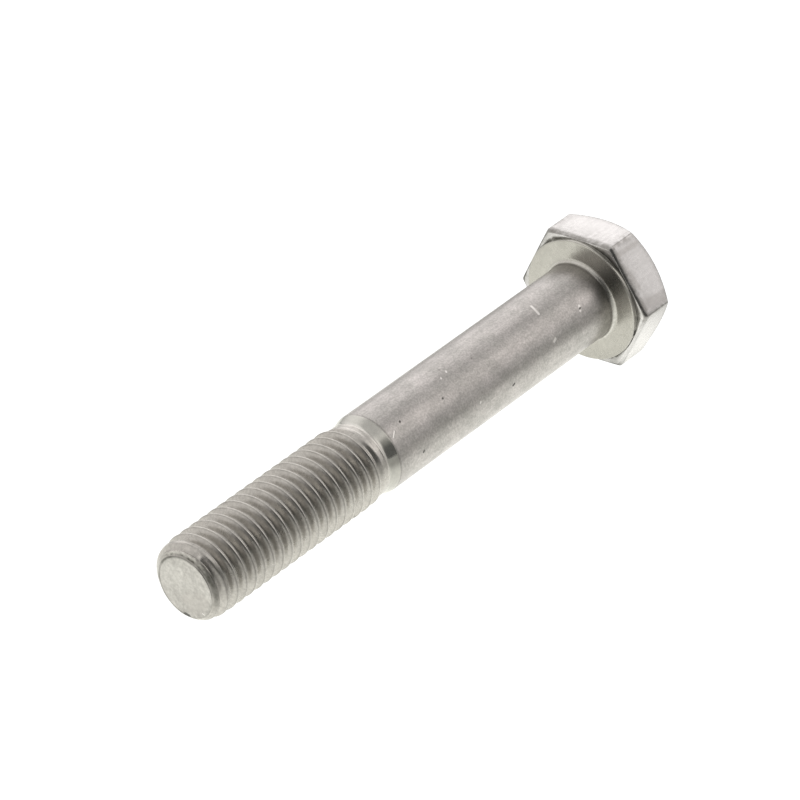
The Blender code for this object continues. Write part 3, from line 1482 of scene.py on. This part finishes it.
FLAT_MARKS = (
    Mark(MarkKind.SMUDGE, (1.5, 8.9, 6.0), (5.2, 8.7, 8.0), 0.9),
    Mark(MarkKind.SMUDGE, (5.0, 8.3, 40.0), (4.7, 8.2, 22.0), 0.5),
    Mark(MarkKind.SMUDGE, (1.8, 8.8, 52.0), (5.2, 8.8, 53.0), 0.5),
)

FINISHES = {
    Zone.SHANK: SteelFinish(
        colour=(0.462, 0.442, 0.427),
        dark_colour=(0.345, 0.342, 0.322),
        # Light wear colour: on the shank it lays the painted highlight on the fillet's lower part.
        wear_and_light_colour=(0.80, 0.785, 0.755),
        roughness=0.33,
        mottle=Mottle(scale=430.0, contrast=3.2, share=0.5),
        grain=Grain(along=200.0, across=1500.0, height=0.003, tone=0.07),
        speckle=Grain.speckle(scale=4600.0, height=0.007, tone=0.17),
        pitting=Pitting(scale=900.0, share=0.10),
        wear=0.6,
        grime=0.7,
        marks=SHANK_MARKS,
    ),
    Zone.THREAD: SteelFinish(
        colour=(0.52, 0.505, 0.475),
        dark_colour=(0.42, 0.40, 0.37),
        # Light wear colour: worn crests with a painted crest highlight, the beads and the torn ledge.
        wear_and_light_colour=(0.72, 0.70, 0.66),
        roughness=0.29,
        mottle=Mottle(scale=500.0, contrast=2.2, share=0.35),
        grain=Grain(along=3500.0, across=900.0, height=0.003, tone=0.06),
        speckle=Grain.speckle(scale=3200.0, height=0.006, tone=0.10),
        pitting=Pitting(scale=900.0, share=0.05),
        wear=0.8,
        grime=1.0,
    ),
    Zone.NECK: SteelFinish(
        colour=(0.50, 0.495, 0.46),
        dark_colour=(0.40, 0.40, 0.37),
        wear_and_light_colour=(0.80, 0.785, 0.755),
        roughness=0.17,
        mottle=Mottle(scale=600.0, contrast=2.0, share=0.3),
        grain=Grain(along=1200.0, across=500.0, height=0.002, tone=0.03),
        speckle=Grain.speckle(scale=2600.0, height=0.002, tone=0.04),
        pitting=Pitting(scale=900.0, share=0.04),
        wear=0.6,
        grime=0.3,
    ),
    Zone.POINT: SteelFinish(
        colour=(0.44, 0.43, 0.405),
        dark_colour=(0.34, 0.33, 0.31),
        wear_and_light_colour=(0.78, 0.765, 0.735),
        roughness=0.34,
        mottle=Mottle(scale=420.0, contrast=3.4, share=0.8),
        grain=Grain(along=1500.0, across=1500.0, height=0.008, tone=0.05),
        speckle=Grain.speckle(scale=2600.0, height=0.008, tone=0.12),
        pitting=Pitting(scale=1500.0, share=0.25),
        wear=0.6,
        grime=0.8,
        marks=POINT_MARKS,
    ),
    Zone.BEARING: SteelFinish(
        colour=(0.43, 0.42, 0.385),
        dark_colour=(0.33, 0.325, 0.295),
        # Light wear colour: wear on the washer's rounded edge and the painted highlight across the
        # fillet.
        wear_and_light_colour=(0.78, 0.765, 0.73),
        roughness=0.27,
        mottle=Mottle(scale=500.0, contrast=1.8, share=0.35),
        grain=Grain(along=1200.0, across=1200.0, height=0.005, tone=0.03),
        speckle=Grain.speckle(scale=2600.0, height=0.005, tone=0.03),
        pitting=Pitting(scale=700.0, share=0.05),
        wear=0.5,
        grime=1.0,
        marks=BEARING_MARKS,
    ),
    Zone.FLATS: SteelFinish(
        colour=(0.705, 0.695, 0.69),
        dark_colour=(0.50, 0.485, 0.465),
        # Dark wear colour: painted shade along the hexagon's corners, rolled lower edge and top edge.
        wear_and_light_colour=(0.20, 0.19, 0.175),
        roughness=0.28,
        mottle=Mottle(scale=350.0, contrast=1.8, share=0.1),
        grain=Grain(along=300.0, across=2600.0, height=0.004, tone=0.04),
        speckle=Grain.speckle(scale=2400.0, height=0.003, tone=0.04),
        pitting=Pitting(scale=600.0, share=0.06),
        wear=0.8,
        grime=1.5,
        marks=FLAT_MARKS,
    ),
    Zone.TOP: SteelFinish(
        colour=(0.58, 0.565, 0.54),
        dark_colour=(0.44, 0.425, 0.40),
        wear_and_light_colour=(0.78, 0.765, 0.735),
        roughness=0.34,
        mottle=Mottle(scale=260.0, contrast=1.8, share=0.4),
        grain=Grain(along=900.0, across=900.0, height=0.005, tone=0.04),
        speckle=Grain.speckle(scale=2200.0, height=0.008, tone=0.06),
        pitting=Pitting(scale=600.0, share=0.07),
        wear=0.7,
        grime=0.5,
    ),
}


# The bolt and its studio


class HexBolt:
    """The whole bolt: one closed skin with a finish for each zone."""

    def __init__(self, sizes: BoltFrame, effects: SharedEffects) -> None:
        """Keep the sizes and the shared effects.

        Args:
            sizes: The bolt's driving sizes.
            effects: The shared node groups.
        """
        self.effects = effects
        self.threaded_end = ThreadedEnd(point_x=sizes.point_x)
        self.shank = PlainShank(point_x=sizes.point_x, bearing_x=sizes.bearing_x)
        self.head = ForgedHead(bearing_x=sizes.bearing_x, across_flats=sizes.across_flats)

    def build(self) -> bpy.types.Object:
        """Build the bolt's skin and dress it.

        Returns:
            The finished piece.
        """
        skin = Skin(Columns())
        self.threaded_end.add_to(skin)
        self.shank.add_to(skin)
        self.head.add_to(skin)
        piece = skin.build("bolt_skin")
        for zone in Zone:
            piece.data.materials.append(FINISHES[zone].material(zone.value, self.effects))
        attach(piece, BODY)
        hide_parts(CAD_NODE)
        return piece


@dataclass(frozen=True)
class Floor:
    """The pale floor under the bolt, which rests on a head flat and the thread's crests."""

    contact_x: float = 5.7 * MM
    contact_depth: float = 8.0 * MM
    slope: float = 0.045
    clearance: float = 0.02 * MM
    half_size: float = 3.0
    diffuse: Colour = (0.68, 0.69, 0.67)
    seen_glow: float = 1.15
    bright_glow: Colour = (1.0, 1.0, 0.955)
    bright_strength: float = 1.08
    bright_reach: float = 42.0 * MM
    bright_taper: float = -0.364
    least_reach: float = 3.0 * MM
    bright_start: float = -14.0 * MM
    bright_full: float = 6.0 * MM
    far_start: float = -30.0 * MM
    far_full: float = -6.0 * MM
    far_share: float = 0.6

    def build(self) -> bpy.types.Object:
        """Make the floor.

        Returns:
            The floor.
        """
        mesh = bpy.data.meshes.new("floor")
        corners = []
        for x, y in ((-1.0, -1.0), (1.0, -1.0), (1.0, 1.0), (-1.0, 1.0)):
            reach = x * self.half_size
            z = -self.contact_depth - self.clearance + self.slope * (reach - self.contact_x)
            corners.append((reach, y * self.half_size, z))
        mesh.from_pydata(corners, [], [(0, 1, 2, 3)])
        mesh.materials.append(self._paper())
        floor = bpy.data.objects.new("floor", mesh)
        bpy.context.scene.collection.objects.link(floor)
        return floor

    def _paper(self) -> bpy.types.Material:
        """White paper that looks plain white, with a bright part that only lights the bolt.

        Returns:
            The floor's material.
        """
        material = bpy.data.materials.new("white_paper")
        material.use_nodes = True
        sheet = NodeSheet(material.node_tree)
        paper = material.node_tree.nodes["Principled BSDF"]
        white = (*self.diffuse, 1.0)
        sheet.feed_all(paper, Base_Color=white, Roughness=1.0, Specular_IOR_Level=0.0)
        lit = sheet.add("ShaderNodeEmission")
        sheet.feed_all(lit, Color=(*self.bright_glow, 1.0), Strength=self._brightness(sheet))
        bright_paper = sheet.add("ShaderNodeAddShader")
        sheet.feed(bright_paper.inputs[0], paper.outputs["BSDF"])
        sheet.feed(bright_paper.inputs[1], lit.outputs["Emission"])
        glow = sheet.add("ShaderNodeEmission")
        sheet.feed_all(glow, Strength=self.seen_glow)
        seen = sheet.add("ShaderNodeLightPath").outputs["Is Camera Ray"]
        mix = sheet.add("ShaderNodeMixShader")
        sheet.feed(mix.inputs["Fac"], seen)
        sheet.feed(mix.inputs[1], bright_paper.outputs["Shader"])
        sheet.feed(mix.inputs[2], glow.outputs["Emission"])
        sheet.feed(material.node_tree.nodes["Material Output"].inputs["Surface"], mix.outputs[0])
        return material

    def _brightness(self, sheet: NodeSheet) -> Socket:
        """How strongly the bright part glows: a strip along the bolt that narrows to its point.

        Args:
            sheet: The material's nodes.

        Returns:
            The strength of the glow.
        """
        place = sheet.add("ShaderNodeSeparateXYZ")
        sheet.feed_all(place, Vector=sheet.object_place)
        x, y = place.outputs["X"], place.outputs["Y"]
        reach = sheet.maths("MULTIPLY_ADD", x, self.bright_taper, self.bright_reach)
        reach = sheet.maths("MAXIMUM", reach, self.least_reach)
        side = sheet.step(y, 0.0, reach, self.bright_strength, 0.0)
        begun = sheet.step(x, self.bright_start, self.bright_full, 0.0, 1.0)
        far = sheet.step(y, self.far_start, self.far_full, self.far_share, 1.0)
        return sheet.maths("MULTIPLY", sheet.maths("MULTIPLY", side, begun), far)


@dataclass(frozen=True)
class SoftLobe:
    """A soft bright or dark patch of the studio's dome."""

    direction: tuple[float, float, float]
    inner: float
    outer: float
    gain: Colour


@dataclass(frozen=True)
class StudioDome:
    """The white tent around the bolt, as the world's light."""

    base: Colour = (0.78, 0.76, 0.745)
    darkest: Colour = (0.10, 0.10, 0.095)
    seen: float = 1.0
    lobes: tuple[SoftLobe, ...] = (
        SoftLobe((-0.63, -0.58, 0.51), 12.0, 38.0, (0.62, 0.60, 0.60)),
        SoftLobe((-0.63, 0.57, 0.52), 8.0, 25.0, (0.38, 0.35, 0.34)),
        SoftLobe((0.60, 0.60, 0.52), 20.0, 45.0, (-0.38, -0.37, -0.36)),
        SoftLobe((0.35, 0.92, 0.15), 42.0, 54.0, (-0.62, -0.60, -0.59)),
        SoftLobe((0.55, -0.70, 0.45), 25.0, 60.0, (0.16, 0.15, 0.14)),
        SoftLobe((-0.34, 0.62, 0.70), 8.0, 24.0, (0.30, 0.29, 0.27)),
        SoftLobe((0.98, 0.05, 0.15), 6.0, 21.0, (-0.55, -0.54, -0.53)),
    )

    def build(self) -> bpy.types.World:
        """Light the world with the dome.

        Returns:
            The world.
        """
        world = bpy.data.worlds.new("studio_dome")
        world.use_nodes = True
        sheet = NodeSheet(world.node_tree)
        background = world.node_tree.nodes["Background"]
        direction = sheet.add("ShaderNodeTexCoord").outputs["Generated"]
        total = self.base
        for lobe in self.lobes:
            axis = Vector(lobe.direction).normalized()
            facing = sheet.vector_maths("DOT_PRODUCT", direction, axis)
            outer, inner = (math.cos(math.radians(angle)) for angle in (lobe.outer, lobe.inner))
            share = sheet.step(facing, outer, inner, 0.0, 1.0)
            patch = sheet.vector_maths("SCALE", lobe.gain, scale=share)
            total = sheet.vector_maths("ADD", total, patch)
        total = sheet.vector_maths("MAXIMUM", total, self.darkest)
        camera_ray = sheet.add("ShaderNodeLightPath").outputs["Is Camera Ray"]
        shown = sheet.blend(camera_ray, total, (self.seen, self.seen, self.seen))
        sheet.feed(background.inputs["Color"], shown)
        bpy.context.scene.world = world
        return world


@dataclass(frozen=True)
class StudioCamera:
    """A long lens that looks along the bolt from its point, from above."""

    azimuth: float = 132.736
    elevation: float = 30.903
    roll: float = -6.452
    distance: float = 511.11 * MM
    target: tuple[float, float, float] = (37.286 * MM, -1.834 * MM, 2.079 * MM)
    lens: float = 204.08
    sensor: float = 36.0
    clip: tuple[float, float] = (0.01, 20.0)

    def build(self) -> bpy.types.Object:
        """Place the camera and make it the scene's own.

        Returns:
            The camera.
        """
        azimuth, elevation, roll = map(math.radians, (self.azimuth, self.elevation, self.roll))
        level = math.cos(elevation)
        back = Vector((math.sin(azimuth) * level, -math.cos(azimuth) * level, math.sin(elevation)))
        level_right = Vector((math.cos(azimuth), math.sin(azimuth), 0.0))
        right = math.cos(roll) * level_right + math.sin(roll) * back.cross(level_right)
        turned = Matrix((right, back.cross(right), back)).transposed()
        data = bpy.data.cameras.new("studio_camera")
        data.lens = self.lens
        data.sensor_width = self.sensor
        data.clip_start, data.clip_end = self.clip
        camera = bpy.data.objects.new("studio_camera", data)
        place = Vector(self.target) + back * self.distance
        camera.matrix_world = Matrix.Translation(place) @ turned.to_4x4()
        bpy.context.scene.collection.objects.link(camera)
        bpy.context.scene.camera = camera
        return camera


def main() -> None:
    """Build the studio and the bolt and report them."""
    logging.basicConfig(level=logging.INFO, format="%(name)s: %(message)s")
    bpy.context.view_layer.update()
    bpy.context.scene.view_settings.view_transform = "Standard"
    camera = StudioCamera().build()
    log.info("camera %s, lens %.1f mm", camera.name, camera.data.lens)
    floor = Floor().build()
    log.info("stage %s", floor.name)
    world = StudioDome().build()
    log.info("light %s", world.name)
    bolt = HexBolt(BoltFrame.from_record(frame["record"]), SharedEffects()).build()
    log.info("piece %s, %d faces", bolt.name, len(bolt.data.polygons))


if __name__ == "__main__":
    main()
